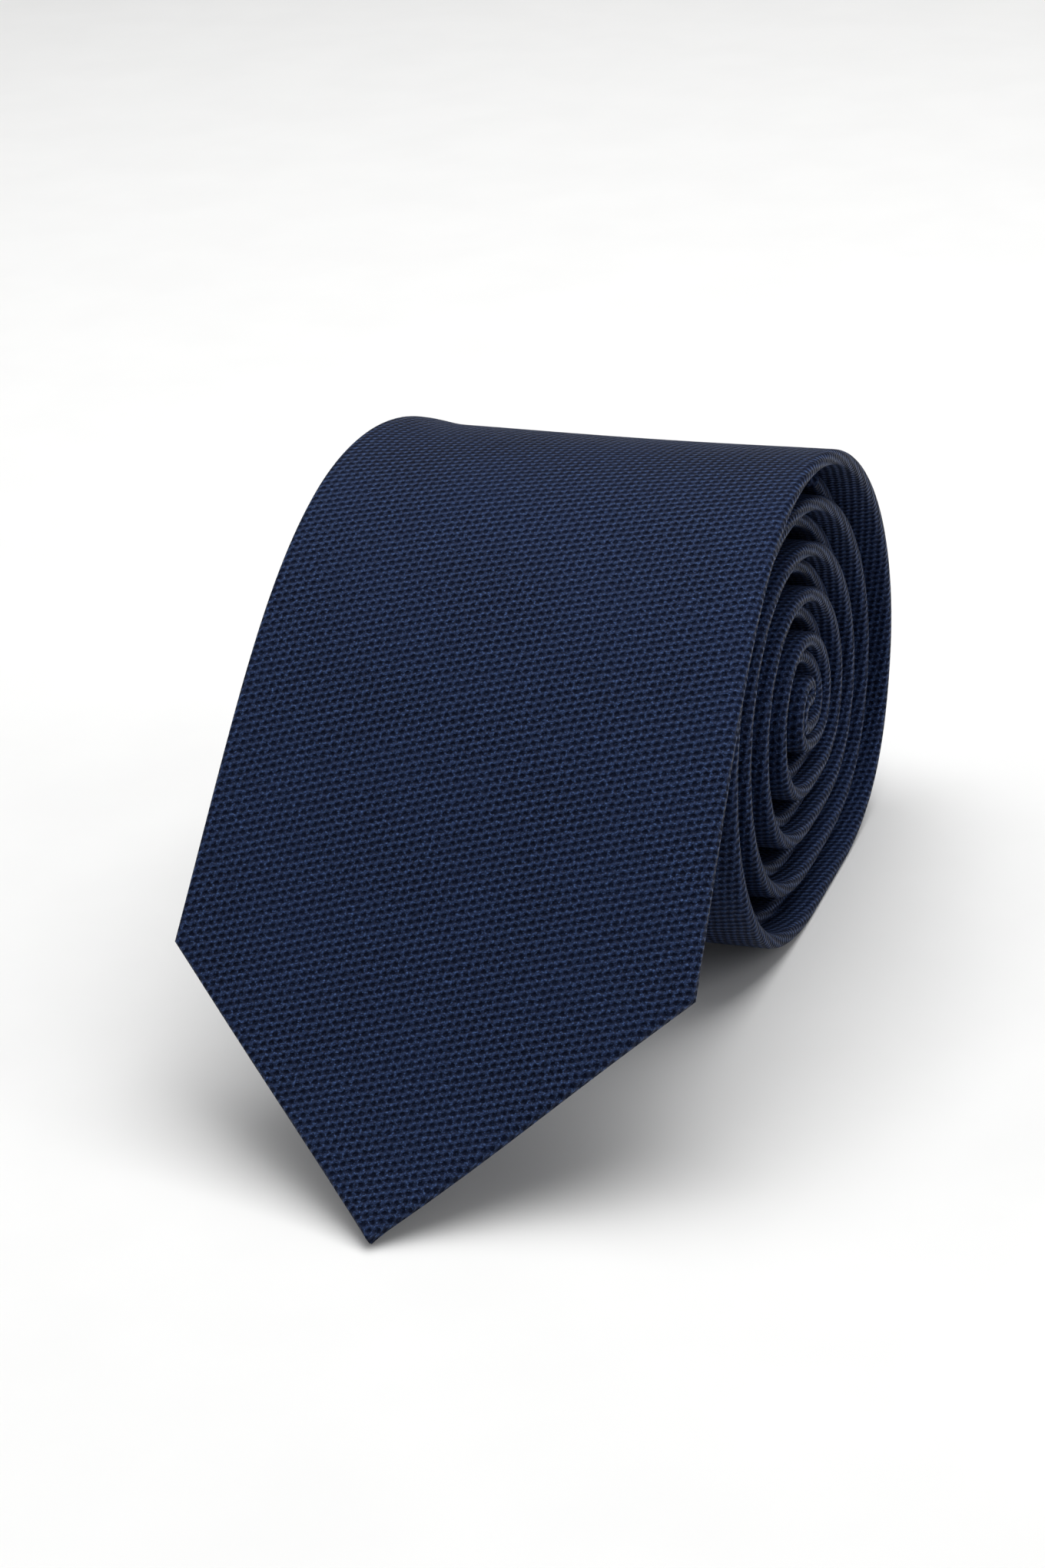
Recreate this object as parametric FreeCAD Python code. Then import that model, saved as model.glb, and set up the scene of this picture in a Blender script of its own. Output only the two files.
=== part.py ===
"""Necktie, folded in half and rolled up from the fold, standing on its roll.

Row frame: X runs along the roll's axis, the hanging blade faces -Y, +Z is up.
The origin is the centre of the bounding box's bottom face.  Millimetres.

Every layer follows one line, the middle of the flattened tie.  A place on the tie is
s, the length along that line from the blade's point, x, the distance across it, and n,
the height above its middle, positive on the good side of the cloth.
"""
import FreeCAD
import Part
import bisect
import math
import os

# ---------------------------------------------------------------- driving dimensions
BLADE_WIDTH = 76.0          # widest part of the blade, at its shoulders
NECK_WIDTH = 35.0           # narrowest part, behind the collar
TAIL_WIDTH = 41.0           # widest part of the small end
NECK_AT = 700.0             # where the tie is narrowest, from the blade's point
THICKNESS = 2.3             # pressed tie: two layers of cloth, turned edges and interlining
CLOTH = 0.42                # shell cloth with its turned hem
INTERLINING = 1.0
TIPPING = 0.2
PLAY = 0.08                 # room between one layer and the next inside the tie

ROLL_TURNS = 4.97           # double turns from the crest to the fold
TURNS_TO_CENTRE = 5.5       # turns at which the spiral would reach its centre
STRAND_STEP = 2.65          # blade half to tail half, middle to middle
LOOP_ROOM = 1.2             # extra room where the keeper loop lies between them
CORE_Y, CORE_Z = 113.5, 29.45    # the spiral's centre, with the blade's point at y = 0
CREST_TURN = -40.0          # degrees of turn where the hanging blade leaves the roll
TAIL_TURN = -8.0            # degrees of turn where the small end stops
POINT_SLOPE = 35.0          # slope of the blade at its point on the table
FLAT_LIFT = 0.20            # how far the weight presses the bottom turn flat
FLAT_EASE = 0.10            # height over which it rounds up from the flat
LOOP_TURN, LOOP_REACH = 92.0, 75.0   # degrees: where the loop's extra room is, and its reach

FIRST_HINGE = 111.0         # s where the hanging blade folds at the crest
SECOND_HINGE = 59.0         # s where it folds in the middle
HINGE_GAP = 0.16            # cut between two stretches of the blade

BLADE_SEAM = 450.0          # s of the two seams that join the three cuts of cloth
NECK_SEAM = 905.0
SEAM_GAP = 0.30
SLIT = 0.55                 # half width of the gap between the back flaps
OPENING_END = 106.0         # s where the flaps meet on the blade, at the bar tack
HEM = 15.0                  # depth of the turned hem at each end
TAIL_HEM_DEPTH = 11.0
TAIL_OPENING_LENGTH = 70.0  # from the small end's point to its bar tack
EDGE = 0.6                  # cloth thickness across the folded edge
POINT = 1.6                 # the folded point is solid cloth up to here
TIP_TRIM = 0.1              # the point is blunt by this much

TIPPING_END = 150.0         # s where the blade's tipping stops
TAIL_TIPPING = 90.0         # length of the small end's tipping
LINING_START = 4.0          # distance from each point to the interlining
TIPPING_START = 5.0         # and to the tipping

RIGHT_END = 31.5            # x that the rolled right edges settle at
RIGHT_SETTLE = 200.0        # length over which they do
TAIL_RECESS = 2.0           # how far the tail half sits behind that
RECESS_LENGTH = 60.0        # length after the fold over which it moves back

THREAD = 0.35               # width of a sewing thread
THREAD_LOW, THREAD_HIGH = 0.17, 0.02     # its reach under the surface that it is sewn on
SLIP_LOW, SLIP_HIGH = -1.0, -0.8         # n of the slip-stitch thread, between the flaps
SLACK_LOW, SLACK_HIGH = -1.1, -0.8
SLACK_LENGTH, SLACK_HALF = 12.0, 1.2     # the slack loop at the small end
KEEPER_AT, KEEPER_SPAN, KEEPER_WIDTH = 200.0, 46.0, 12.0
KEEPER_FOOT, KEEPER_RISE, KEEPER_CLOTH = 6.0, 0.15, 0.5
LABEL_AT, LABEL_WIDE, LABEL_LONG = 175.0, 36.0, 26.0
CARE_AT, CARE_WIDE, CARE_LONG = 219.0, 18.0, 14.0
LABEL_LOW, LABEL_HIGH = 0.29, 0.03       # a label's reach under the blade's back
SEWN_GAP = 0.03             # air under a sewn-on piece
LONG_STRETCH = 1180.0       # s that halves the longest run of one face

HANGING_STEPS = 240
FOLD_STEPS = 24

HALF = THICKNESS / 2


# ---------------------------------------------------------------- the line through the roll
def radius_at(turn):
    """Distance of the blade half from the roll's centre; turn is in degrees, 0 at the top."""
    a = math.radians(turn)
    shape = (41.7 + 3.9 * math.cos(a) - 8.8 * math.sin(a) - 5.3 * math.cos(2 * a)
             - 2.5 * math.sin(2 * a) + 0.4 * math.cos(3 * a) + 0.8 * math.sin(3 * a))
    return shape * (1.0 - turn / 360.0 / TURNS_TO_CENTRE)


def spiral_point(turn):
    a = math.radians(turn)
    r = radius_at(turn)
    return CORE_Y + r * math.sin(a), CORE_Z + r * math.cos(a)


def pressed(y, z, floor):
    """The bottom turn, flattened where the roll's weight rests on it."""
    rise = z - floor
    if rise <= 0.0:
        return y, floor
    return y, floor + rise * rise / (rise + FLAT_EASE)


def headings(points):
    out = []
    for i in range(len(points)):
        a = points[max(i - 1, 0)]
        b = points[min(i + 1, len(points) - 1)]
        out.append(math.atan2(b[1] - a[1], b[0] - a[0]))
    return out


def room_for_loop(turn):
    """Extra distance between the halves around the keeper loop, in the first turn."""
    away = abs(turn - LOOP_TURN) / LOOP_REACH
    if away >= 1.0:
        return 0.0
    return LOOP_ROOM * 0.5 * (1.0 + math.cos(math.pi * away))


def tie_line():
    """Points (y, z) along the middle of the whole tie, from the blade's point to the tail's."""
    end_turn = 360.0 * ROLL_TURNS
    turns = [CREST_TURN + i for i in range(math.ceil(end_turn - CREST_TURN))] + [end_turn]
    lowest = min(spiral_point(t)[1] for t in turns)
    floor = lowest + FLAT_LIFT
    blade_half = [pressed(*spiral_point(t), floor) for t in turns]

    # hanging blade: one cubic from the point on the table to the crest
    slope = math.radians(POINT_SLOPE)
    first = (0.0, floor - HALF + HALF * math.cos(slope))
    last = blade_half[0]
    lead = math.atan2(blade_half[1][1] - last[1], blade_half[1][0] - last[0])
    span = math.dist(first, last)
    hanging = []
    for i in range(HANGING_STEPS):
        u = i / HANGING_STEPS
        h0 = 2 * u ** 3 - 3 * u ** 2 + 1
        h1 = u ** 3 - 2 * u ** 2 + u
        h2 = -2 * u ** 3 + 3 * u ** 2
        h3 = u ** 3 - u ** 2
        y = h0 * first[0] + h1 * span * math.cos(slope) + h2 * last[0] + h3 * span * math.cos(lead)
        z = h0 * first[1] + h1 * span * math.sin(slope) + h2 * last[1] + h3 * span * math.sin(lead)
        hanging.append((y, z))

    # tail half: the same spiral, one step further in, followed back outwards
    ways = headings(blade_half)
    tail_half = []
    for (y, z), way, turn in zip(blade_half, ways, turns):
        if turn < TAIL_TURN:
            continue
        step = STRAND_STEP + room_for_loop(turn)
        tail_half.append((y + math.sin(way) * step, z - math.cos(way) * step))
    tail_half.reverse()

    # the fold between them
    y0, z0 = blade_half[-1]
    y1, z1 = tail_half[0]
    cy, cz = (y0 + y1) / 2, (z0 + z1) / 2
    r = STRAND_STEP / 2
    begin = math.atan2(z0 - cz, y0 - cy)
    fold = []
    for i in range(1, FOLD_STEPS):
        a = begin - math.pi * i / FOLD_STEPS
        fold.append((cy + r * math.cos(a), cz + r * math.sin(a)))
    return hanging + blade_half + fold + tail_half, floor - HALF


LINE, TABLE = tie_line()
WAYS = headings(LINE)
for index in range(1, len(WAYS)):           # no jumps of a full turn
    while WAYS[index] - WAYS[index - 1] > math.pi:
        WAYS[index] -= 2 * math.pi
    while WAYS[index] - WAYS[index - 1] < -math.pi:
        WAYS[index] += 2 * math.pi
LENGTHS = [0.0]
for index in range(1, len(LINE)):
    LENGTHS.append(LENGTHS[-1] + math.dist(LINE[index - 1], LINE[index]))
TOTAL = LENGTHS[-1]
OUTER_Y = [p[0] - math.sin(w) * HALF for p, w in zip(LINE, WAYS)]
CENTRE_Y = (min(OUTER_Y) + max(OUTER_Y)) / 2


def place(s):
    """Middle of the tie at s, in the row frame, and the heading there."""
    i = min(max(bisect.bisect_right(LENGTHS, s) - 1, 0), len(LINE) - 2)
    u = (s - LENGTHS[i]) / (LENGTHS[i + 1] - LENGTHS[i])
    y = LINE[i][0] + u * (LINE[i + 1][0] - LINE[i][0])
    z = LINE[i][1] + u * (LINE[i + 1][1] - LINE[i][1])
    way = WAYS[i] + u * (WAYS[i + 1] - WAYS[i])
    return y - CENTRE_Y, z - TABLE, way


def half_width(s):
    half_blade, half_neck, half_tail = BLADE_WIDTH / 2, NECK_WIDTH / 2, TAIL_WIDTH / 2
    if s < half_blade:
        return s
    if s < NECK_AT:
        return half_blade + (half_neck - half_blade) * (s - half_blade) / (NECK_AT - half_blade)
    if s < TOTAL - half_tail:
        return half_neck + (half_tail - half_neck) * (s - NECK_AT) / (TOTAL - half_tail - NECK_AT)
    return TOTAL - s


def middle_x(s):
    """Where the tie's middle lies across the roll: it was rolled with its right edges level."""
    half_blade, half_tail = BLADE_WIDTH / 2, TAIL_WIDTH / 2
    if s < half_blade:
        return 0.0
    inner = min(s, TOTAL - half_tail)
    right = RIGHT_END + (half_blade - RIGHT_END) * math.exp(-(s - half_blade) / RIGHT_SETTLE)
    past_fold = min(max((s - FOLD_AT) / RECESS_LENGTH, 0.0), 1.0)
    right -= TAIL_RECESS * past_fold * past_fold * (3 - 2 * past_fold)
    return right - half_width(inner)


FOLD_AT = LENGTHS[HANGING_STEPS + int(360 * ROLL_TURNS - CREST_TURN)]


# ---------------------------------------------------------------- solids along the line
END_STEP = 0.6              # the first and last steps are short, so that the ends don't ripple
LEVEL = 1e-7                # heights closer than this are the same


def stations(s0, s1):
    """Places between s0 and s1, closer together where the tie turns tighter."""
    if s1 - s0 < 6 * END_STEP:
        return [s0, (s0 + s1) / 2, s1]
    out = [s0, s0 + END_STEP]
    while True:
        s = out[-1]
        way = place(s)[2]
        step = 0.25
        while step < 9.0 and abs(place(s + step)[2] - way) < math.radians(13.0):
            step += 0.25
        if s + 1.4 * step >= s1 - END_STEP:
            break
        out.append(s + step)
    return out + [s1 - END_STEP, s1]


def corner(s, x, n):
    y, z, way = place(s)
    return FreeCAD.Vector(x, y - math.sin(way) * n, z + math.cos(way) * n)


def ruled_face(first, second):
    """The face of straight lines between two curves that share their knots."""
    heights = [pole.z for pole in first.getPoles() + second.getPoles()]
    if max(heights) - min(heights) < LEVEL:     # a true plane where the roll rests on the table
        ends = [Part.makeLine(first.getPoles()[i], second.getPoles()[i]) for i in (0, -1)]
        return Part.Face(Part.Wire([first.toShape(), ends[1], second.toShape(), ends[0]]))
    surface = Part.BSplineSurface()
    surface.buildFromPolesMultsKnots(
        [list(pair) for pair in zip(first.getPoles(), second.getPoles())],
        first.getMultiplicities(), [2, 2], first.getKnots(), [0.0, 1.0],
        False, False, first.Degree, 1)
    return surface.toShape()


def swept(section, breaks):
    """A closed solid whose cross-section at s has the corners section(s) = [(x, n), ...].

    breaks are the places where its edges may turn a corner.
    """
    faces = []
    for s0, s1 in zip(breaks[:-1], breaks[1:]):
        places = stations(s0, s1)
        rows = [[corner(s, x, n) for x, n in section(s)] for s in places]
        curves = []
        for k in range(len(rows[0])):
            curve = Part.BSplineCurve()
            curve.interpolate(Points=[row[k] for row in rows], Parameters=places)
            curves.append(curve)
        for k in range(len(curves)):
            faces.append(ruled_face(curves[k], curves[(k + 1) % len(curves)]))
    for s in (breaks[0], breaks[-1]):
        ring = [corner(s, x, n) for x, n in section(s)]
        faces.append(Part.Face(Part.makePolygon(ring + ring[:1])))
    shell = Part.makeShell(faces)
    shell.sewShape()
    solid = Part.makeSolid(shell)
    if solid.Volume < 0:
        solid.reverse()
    return solid


def strip(s0, s1, half, low, high, shift=0.0, breaks=()):
    """A plain strip; half is its half width, a number or a function of s."""
    def section(s):
        h = half(s) if callable(half) else half
        x = middle_x(s) + shift
        return [(x - h, low), (x + h, low), (x + h, high), (x - h, high)]
    return swept(section, [s0] + [b for b in breaks if s0 < b < s1] + [s1])


BLADE_SHOULDER = BLADE_WIDTH / 2
TAIL_SHOULDER = TOTAL - TAIL_WIDTH / 2
TAIL_OPENING = TOTAL - TAIL_OPENING_LENGTH


def opening(s):
    """Half width of the gap between the back flaps."""
    if s < HEM:
        return SLIT
    if s < BLADE_SHOULDER:
        return SLIT + (s - HEM)
    if s < OPENING_END:
        widest = SLIT + BLADE_SHOULDER - HEM
        return SLIT + (widest - SLIT) * (OPENING_END - s) / (OPENING_END - BLADE_SHOULDER)
    if s < TAIL_OPENING:
        return SLIT
    tail_widest = SLIT + TAIL_WIDTH / 2 - TAIL_HEM_DEPTH
    if s < TAIL_SHOULDER:
        return SLIT + (tail_widest - SLIT) * (s - TAIL_OPENING) / (TAIL_SHOULDER - TAIL_OPENING)
    return max(tail_widest - (s - TAIL_SHOULDER), SLIT)


TAIL_HEM = TAIL_SHOULDER + TAIL_WIDTH / 2 - TAIL_HEM_DEPTH
FLOOR_FLAT = [s for s, way in zip(LENGTHS, WAYS)
              if abs(math.sin(way)) < 1e-9 and OPENING_END < s < NECK_AT]
TURNS_OF_EDGE = [HEM, BLADE_SHOULDER, OPENING_END, FLOOR_FLAT[0], FLOOR_FLAT[-1], NECK_AT,
                 FOLD_AT - 15.0, FOLD_AT + 20.0, LONG_STRETCH, TAIL_OPENING, TAIL_SHOULDER, TAIL_HEM]


def folded_cloth(s0, s1):
    """Shell cloth: face, two folded edges and two back flaps with the gap between them."""
    def section(s):
        x, h, gap = middle_x(s), half_width(s), opening(s)
        inner = h - EDGE
        low, high = -HALF + CLOTH, HALF - CLOTH
        return [(x - h, HALF), (x - h, -HALF), (x - gap, -HALF), (x - gap, low),
                (x - inner, low), (x - inner, high), (x + inner, high), (x + inner, low),
                (x + gap, low), (x + gap, -HALF), (x + h, -HALF), (x + h, HALF)]
    return swept(section, [s0] + [b for b in TURNS_OF_EDGE if s0 < b < s1] + [s1])


def inside(margin):
    def half(s):
        return half_width(s) - EDGE - margin
    return half


LINING_TOP = HALF - CLOTH - PLAY
LINING_BOTTOM = LINING_TOP - INTERLINING
TIPPING_TOP = LINING_BOTTOM - PLAY
TIPPING_BOTTOM = TIPPING_TOP - TIPPING


def interlining(s0, s1):
    return strip(s0, s1, inside(0.4), LINING_BOTTOM, LINING_TOP, breaks=TURNS_OF_EDGE)


def tipping(s0, s1):
    return strip(s0, s1, inside(0.6), TIPPING_BOTTOM, TIPPING_TOP, breaks=TURNS_OF_EDGE)


def bars(spots, across, along, low, high):
    """Short stitches: one bar at each (s, x) of spots, together in one node."""
    return Part.makeCompound([strip(s - along / 2, s + along / 2, across / 2, low, high, shift)
                              for s, shift in spots])


def thread_beside_opening(s0, s1):
    """The row of stitches that holds the tipping to the turned hem, on both sides."""
    sides = []
    for side in (-1, 1):
        def section(s, side=side):
            x = middle_x(s) + side * (opening(s) - THREAD)
            half = THREAD / 2
            low, high = TIPPING_BOTTOM - THREAD_LOW, TIPPING_BOTTOM - THREAD_HIGH
            return [(x - half, low), (x + half, low), (x + half, high), (x - half, high)]
        sides.append(swept(section, [s0] + [b for b in TURNS_OF_EDGE if s0 < b < s1] + [s1]))
    return Part.makeCompound(sides)


# ---------------------------------------------------------------- cloth, lining, tipping
CUT_1 = (FIRST_HINGE - HINGE_GAP / 2, FIRST_HINGE + HINGE_GAP / 2)
CUT_2 = (SECOND_HINGE - HINGE_GAP / 2, SECOND_HINGE + HINGE_GAP / 2)


def blunt_point(s0, s1):
    """The last of the point, where the folded edges meet and leave no room inside."""
    return strip(s0, s1, half_width, -HALF, HALF)


def build_shells(nodes):
    nodes["blade_shell_point"] = blunt_point(TIP_TRIM, POINT).fuse(folded_cloth(POINT, CUT_2[0]))
    nodes["blade_shell_middle"] = folded_cloth(CUT_2[1], CUT_1[0])
    nodes["blade_shell"] = folded_cloth(CUT_1[1], BLADE_SEAM - SEAM_GAP)
    nodes["neck_shell"] = folded_cloth(BLADE_SEAM, NECK_SEAM - SEAM_GAP)
    nodes["tail_shell"] = folded_cloth(NECK_SEAM, TOTAL - POINT).fuse(
        blunt_point(TOTAL - POINT, TOTAL - TIP_TRIM))


def build_linings(nodes):
    nodes["blade_interlining_point"] = interlining(LINING_START, CUT_2[0])
    nodes["blade_interlining_middle"] = interlining(CUT_2[1], CUT_1[0])
    nodes["blade_interlining"] = interlining(CUT_1[1], NECK_AT - SEAM_GAP)
    nodes["tail_interlining"] = interlining(NECK_AT, TOTAL - LINING_START)
    nodes["blade_tipping_point"] = tipping(TIPPING_START, CUT_2[0])
    nodes["blade_tipping_middle"] = tipping(CUT_2[1], CUT_1[0])
    nodes["blade_tipping"] = tipping(CUT_1[1], TIPPING_END)
    nodes["tail_tipping"] = tipping(TOTAL - TAIL_TIPPING, TOTAL - TIPPING_START)


# ---------------------------------------------------------------- sewing
def build_threads(nodes):
    nodes["slip_stitch_thread"] = strip(CUT_1[1] + 1.0, TAIL_OPENING - 2.0, THREAD,
                                        SLIP_LOW, SLIP_HIGH, breaks=TURNS_OF_EDGE)
    low, high = -HALF - THREAD_LOW, -HALF - THREAD_HIGH
    nodes["blade_bar_tack"] = bars([(OPENING_END, 0.0)], 6.0, 1.6, low, high)
    nodes["tail_bar_tack"] = bars([(TAIL_OPENING, 0.0)], 5.0, 1.4, low, high)
    nodes["blade_hem_stitches"] = thread_beside_opening(HEM + 3.0, CUT_2[0] - 1.0)
    nodes["tail_hem_stitches"] = thread_beside_opening(TAIL_OPENING + 24.0, TAIL_HEM - 1.0)
    seam_low, seam_high = HALF - CLOTH + 0.06, HALF - 0.06
    for name, seam in (("blade_neck_seam_thread", BLADE_SEAM), ("neck_tail_seam_thread", NECK_SEAM)):
        nodes[name] = strip(seam - SEAM_GAP + 0.06, seam - 0.06, inside(0.0), seam_low, seam_high)
    nodes["interlining_join_stitches"] = strip(NECK_AT - SEAM_GAP + 0.06, NECK_AT - 0.06, inside(2.0),
                                               LINING_BOTTOM + 0.2, LINING_TOP - 0.2)
    spare = TAIL_OPENING + 8.0
    end = spare + SLACK_LENGTH
    legs = [strip(spare, end, THREAD / 2, SLACK_LOW, SLACK_HIGH, side * SLACK_HALF)
            for side in (-1, 1)]
    bend = strip(end - THREAD, end, SLACK_HALF, SLACK_LOW, SLACK_HIGH)
    nodes["slack_thread_loop"] = bend.fuse(legs)


def build_back_fittings(nodes):
    """What is sewn on the blade's back: keeper loop, blank woven label, care label."""
    half, foot = KEEPER_SPAN / 2, KEEPER_SPAN / 2 - KEEPER_FOOT
    under, over = -HALF - SEWN_GAP, -HALF - SEWN_GAP - KEEPER_RISE
    top = over - KEEPER_CLOTH

    def keeper_section(s):
        x = middle_x(KEEPER_AT)
        return [(x - half, under), (x - half, top), (x + half, top), (x + half, under),
                (x + foot, under), (x + foot, over), (x - foot, over), (x - foot, under)]

    s0, s1 = KEEPER_AT - KEEPER_WIDTH / 2, KEEPER_AT + KEEPER_WIDTH / 2
    nodes["keeper_loop"] = swept(keeper_section, [s0, s1])
    shift = half - KEEPER_FOOT / 2
    nodes["keeper_loop_stitches"] = bars([(KEEPER_AT, -shift), (KEEPER_AT, shift)], 1.2,
                                         KEEPER_WIDTH - 3.0, top - THREAD_LOW, top - THREAD_HIGH)

    for name, middle, wide, long in (("woven_label", LABEL_AT, LABEL_WIDE, LABEL_LONG),
                                     ("care_label", CARE_AT, CARE_WIDE, CARE_LONG)):
        nodes[name] = strip(middle - long / 2, middle + long / 2, wide / 2,
                            -HALF - LABEL_LOW, -HALF - LABEL_HIGH)
        ends = [(middle - long / 2 + 1.2, 0.0), (middle + long / 2 - 1.2, 0.0)]
        below = -HALF - LABEL_LOW
        nodes[name + "_stitches"] = bars(ends, wide - 2.0, 0.5,
                                         below - THREAD_LOW, below - THREAD_HIGH)


def main():
    nodes = {}
    build_shells(nodes)
    build_linings(nodes)
    build_threads(nodes)
    build_back_fittings(nodes)
    os.makedirs("parts", exist_ok=True)
    box = FreeCAD.BoundBox()
    for name, shape in nodes.items():
        shape.exportStep("parts/%s.step" % name)
        box.add(shape.BoundBox)
        print("%-28s valid %s  %9.1f mm3" % (name, shape.isValid(), shape.Volume))
    print("tie length %.0f, fold at %.0f, box" % (TOTAL, FOLD_AT), box)
    for name, s in (("blade_lift", FIRST_HINGE), ("tip_lift", SECOND_HINGE)):
        print(name, "axis at", corner(s, 0.0, HALF))
    print("flat face at", corner((FLOOR_FLAT[0] + FLOOR_FLAT[-1]) / 2, middle_x(FLOOR_FLAT[0]), HALF))


main()
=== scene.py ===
"""Rolled navy necktie: the detailed pieces, their materials, light and camera.

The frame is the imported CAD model.  All lengths in this file are millimetres until a
mesh is made.  A place on the tie is s, the length along its middle line from the blade's
point, x, the distance across it, and n, the height above its middle, positive on the
good side of the cloth.
"""

import math

import bpy
import numpy as np
from mathutils import Matrix, Vector


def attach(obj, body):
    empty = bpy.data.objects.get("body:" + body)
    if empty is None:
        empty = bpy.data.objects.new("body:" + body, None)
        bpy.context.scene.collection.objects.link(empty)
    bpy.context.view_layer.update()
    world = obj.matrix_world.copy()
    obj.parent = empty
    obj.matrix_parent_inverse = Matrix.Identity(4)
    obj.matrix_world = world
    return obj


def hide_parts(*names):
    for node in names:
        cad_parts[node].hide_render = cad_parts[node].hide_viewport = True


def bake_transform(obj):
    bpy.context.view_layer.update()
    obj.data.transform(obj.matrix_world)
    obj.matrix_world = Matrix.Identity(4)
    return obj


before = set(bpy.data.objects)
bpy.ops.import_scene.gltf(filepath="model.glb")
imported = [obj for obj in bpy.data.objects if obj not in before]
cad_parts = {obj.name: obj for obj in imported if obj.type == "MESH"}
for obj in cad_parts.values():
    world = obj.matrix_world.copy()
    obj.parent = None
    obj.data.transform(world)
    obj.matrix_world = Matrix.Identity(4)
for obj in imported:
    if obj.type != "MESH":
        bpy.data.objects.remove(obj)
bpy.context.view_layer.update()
MM = 0.001

# ---------------------------------------------------------------- dimensions, as in the CAD
BLADE_WIDTH, NECK_WIDTH, TAIL_WIDTH = 76.0, 35.0, 41.0
NECK_AT = 700.0
THICKNESS, CLOTH, INTERLINING, TIPPING, PLAY = 2.3, 0.42, 1.0, 0.2, 0.08
HALF = THICKNESS / 2
ROLL_TURNS, TURNS_TO_CENTRE = 4.97, 5.5
STRAND_STEP, LOOP_ROOM = 2.65, 1.2
CORE_Y, CORE_Z = 113.5, 29.45
CREST_TURN, TAIL_TURN, POINT_SLOPE = -40.0, -8.0, 35.0
FLAT_LIFT, FLAT_EASE = 0.20, 0.10
LOOP_TURN, LOOP_REACH = 92.0, 75.0
FIRST_HINGE, SECOND_HINGE = 111.0, 59.0
BLADE_SEAM, NECK_SEAM = 450.0, 905.0
SLIT, OPENING_END, HEM, TAIL_HEM_DEPTH, TAIL_OPENING_LENGTH = 0.55, 106.0, 15.0, 11.0, 70.0
EDGE = 0.6
TIPPING_END, TAIL_TIPPING, LINING_START, TIPPING_START = 150.0, 90.0, 4.0, 5.0
RIGHT_END, RIGHT_SETTLE, TAIL_RECESS, RECESS_LENGTH = 31.5, 200.0, 2.0, 60.0
HANGING_STEPS, FOLD_STEPS = 240, 24


# ---------------------------------------------------------------- the line through the roll
def radius_at(turn):
    """Distance from the core to the tie's middle: a lopsided round that shrinks with each turn."""
    a = np.radians(turn)
    shape = (41.7 + 3.9 * np.cos(a) - 8.8 * np.sin(a) - 5.3 * np.cos(2 * a)
             - 2.5 * np.sin(2 * a) + 0.4 * np.cos(3 * a) + 0.8 * np.sin(3 * a))
    return shape * (1.0 - turn / 360.0 / TURNS_TO_CENTRE)


def headings(points):
    """Direction of travel at each point of a line."""
    ahead = np.vstack([points[1:], points[-1:]])
    behind = np.vstack([points[:1], points[:-1]])
    step = ahead - behind
    return np.unwrap(np.arctan2(step[:, 1], step[:, 0]))


def tie_line():
    """Points (y, z) along the middle of the whole tie, and the table's height."""
    end_turn = 360.0 * ROLL_TURNS
    turns = np.append(np.arange(CREST_TURN, end_turn, 1.0), end_turn)
    a, r = np.radians(turns), radius_at(turns)
    y, z = CORE_Y + r * np.sin(a), CORE_Z + r * np.cos(a)
    floor = z.min() + FLAT_LIFT
    rise = np.maximum(z - floor, 0.0)
    z = floor + rise ** 2 / (rise + FLAT_EASE)
    blade_half = np.column_stack([y, z])

    slope = math.radians(POINT_SLOPE)
    first = np.array([0.0, floor - HALF + HALF * math.cos(slope)])
    last = blade_half[0]
    lead = blade_half[1] - last
    span = np.linalg.norm(last - first)
    leave = span * np.array([math.cos(slope), math.sin(slope)])
    arrive = span * lead / np.linalg.norm(lead)
    u = (np.arange(HANGING_STEPS) / HANGING_STEPS)[:, None]
    hanging = ((2 * u ** 3 - 3 * u ** 2 + 1) * first + (u ** 3 - 2 * u ** 2 + u) * leave
               + (3 * u ** 2 - 2 * u ** 3) * last + (u ** 3 - u ** 2) * arrive)

    way = headings(blade_half)
    away = np.minimum(np.abs(turns - LOOP_TURN) / LOOP_REACH, 1.0)
    step = STRAND_STEP + LOOP_ROOM * 0.5 * (1.0 + np.cos(math.pi * away))
    inner = blade_half + np.column_stack([np.sin(way) * step, -np.cos(way) * step])
    tail_half = inner[turns >= TAIL_TURN][::-1]

    centre = (blade_half[-1] + tail_half[0]) / 2
    begin = math.atan2(*(blade_half[-1] - centre)[::-1])
    around = begin - math.pi * np.arange(1, FOLD_STEPS) / FOLD_STEPS
    fold = centre + STRAND_STEP / 2 * np.column_stack([np.cos(around), np.sin(around)])
    return np.vstack([hanging, blade_half, fold, tail_half]), floor - HALF


LINE, TABLE = tie_line()
WAYS = headings(LINE)
LENGTHS = np.concatenate([[0.0], np.cumsum(np.linalg.norm(np.diff(LINE, axis=0), axis=1))])
TOTAL = LENGTHS[-1]
OUTER_Y = LINE[:, 0] - np.sin(WAYS) * HALF
CENTRE_Y = (OUTER_Y.min() + OUTER_Y.max()) / 2
FOLD_AT = LENGTHS[HANGING_STEPS + int(360 * ROLL_TURNS - CREST_TURN)]
TAIL_OPENING = TOTAL - TAIL_OPENING_LENGTH
TAIL_SHOULDER = TOTAL - TAIL_WIDTH / 2


def place(s):
    """Middle of the tie at s, and the heading there."""
    y = np.interp(s, LENGTHS, LINE[:, 0]) - CENTRE_Y
    z = np.interp(s, LENGTHS, LINE[:, 1]) - TABLE
    return y, z, np.interp(s, LENGTHS, WAYS)


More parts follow.
